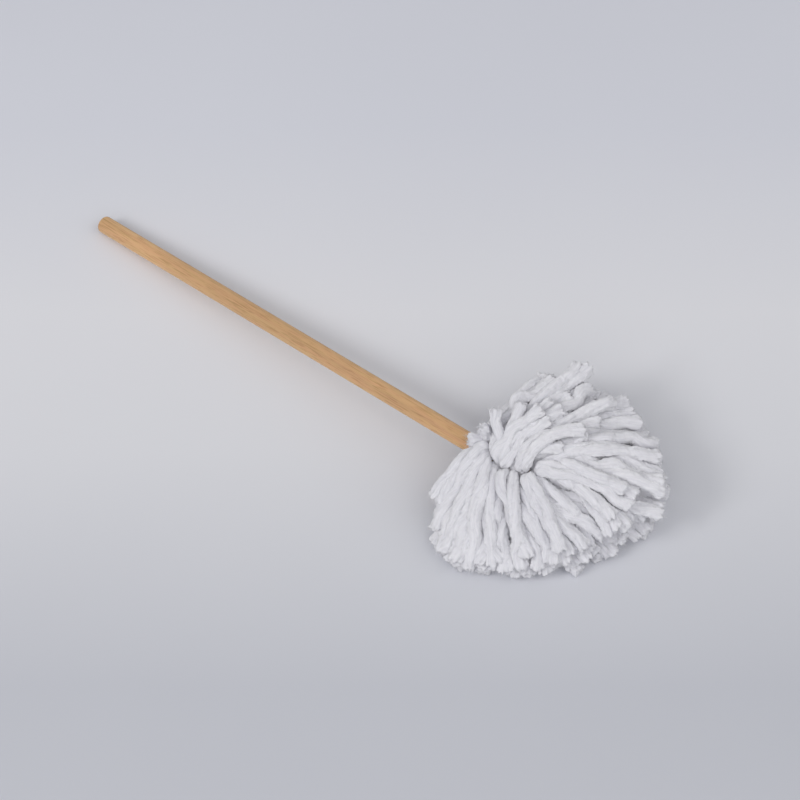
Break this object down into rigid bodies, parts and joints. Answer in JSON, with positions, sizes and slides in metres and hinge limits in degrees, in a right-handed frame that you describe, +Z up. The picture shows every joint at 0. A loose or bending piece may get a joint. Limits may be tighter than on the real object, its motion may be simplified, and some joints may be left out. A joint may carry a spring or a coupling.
{
  "type": "string mop",
  "caption": "Short hand mop lying on its side: a plain round wooden dowel handle with a full head of thick cut cotton yarn wired round its end in rows.",
  "frame": {"origin": "on the surface the mop lies on, under the middle of its bounding box", "axes": "+X runs along the handle towards the yarn head, +Z is up from the surface the mop lies on, and +Y is the side the yarn is brushed over to"},
  "size_m": [0.4709, 0.1623, 0.0793],
  "materials": {
    "handle_wood": "bare, smoothly sanded beech",
    "yarn": "soft, matt, loosely twisted cotton yarn",
    "binding_wire": "galvanised"
  },
  "bodies": {
    "root": {"binding_wire_1": "binding_wire", "binding_wire_2": "binding_wire", "binding_wire_3": "binding_wire", "binding_wire_4": "binding_wire", "bound_yarn_1": "yarn", "bound_yarn_2": "yarn", "bound_yarn_3": "yarn", "bound_yarn_4": "yarn", "handle": "handle_wood", "tuft_crown_left_1": "yarn", "tuft_crown_left_2": "yarn", "tuft_crown_left_3": "yarn", "tuft_crown_left_4": "yarn", "tuft_crown_right_1": "yarn", "tuft_crown_right_2": "yarn", "tuft_crown_right_3": "yarn", "tuft_crown_right_4": "yarn", "tuft_floor_left_1": "yarn", "tuft_floor_left_2": "yarn", "tuft_floor_left_3": "yarn", "tuft_floor_left_4": "yarn", "tuft_floor_right_1": "yarn", "tuft_floor_right_2": "yarn", "tuft_floor_right_3": "yarn", "tuft_floor_right_4": "yarn", "tuft_lower_left_1": "yarn", "tuft_lower_left_2": "yarn", "tuft_lower_left_3": "yarn", "tuft_lower_left_4": "yarn", "tuft_lower_right_1": "yarn", "tuft_lower_right_2": "yarn", "tuft_lower_right_3": "yarn", "tuft_lower_right_4": "yarn", "tuft_middle_left_1": "yarn", "tuft_middle_left_2": "yarn", "tuft_middle_left_3": "yarn", "tuft_middle_left_4": "yarn", "tuft_middle_right_1": "yarn", "tuft_middle_right_2": "yarn", "tuft_middle_right_3": "yarn", "tuft_middle_right_4": "yarn", "tuft_shoulder_left_1": "yarn", "tuft_shoulder_left_2": "yarn", "tuft_shoulder_left_3": "yarn", "tuft_shoulder_left_4": "yarn", "tuft_shoulder_right_1": "yarn", "tuft_shoulder_right_2": "yarn", "tuft_shoulder_right_3": "yarn", "tuft_shoulder_right_4": "yarn", "tuft_upper_left_1": "yarn", "tuft_upper_left_2": "yarn", "tuft_upper_left_3": "yarn", "tuft_upper_left_4": "yarn", "tuft_upper_right_1": "yarn", "tuft_upper_right_2": "yarn", "tuft_upper_right_3": "yarn", "tuft_upper_right_4": "yarn"}
  },
  "joints": []
}
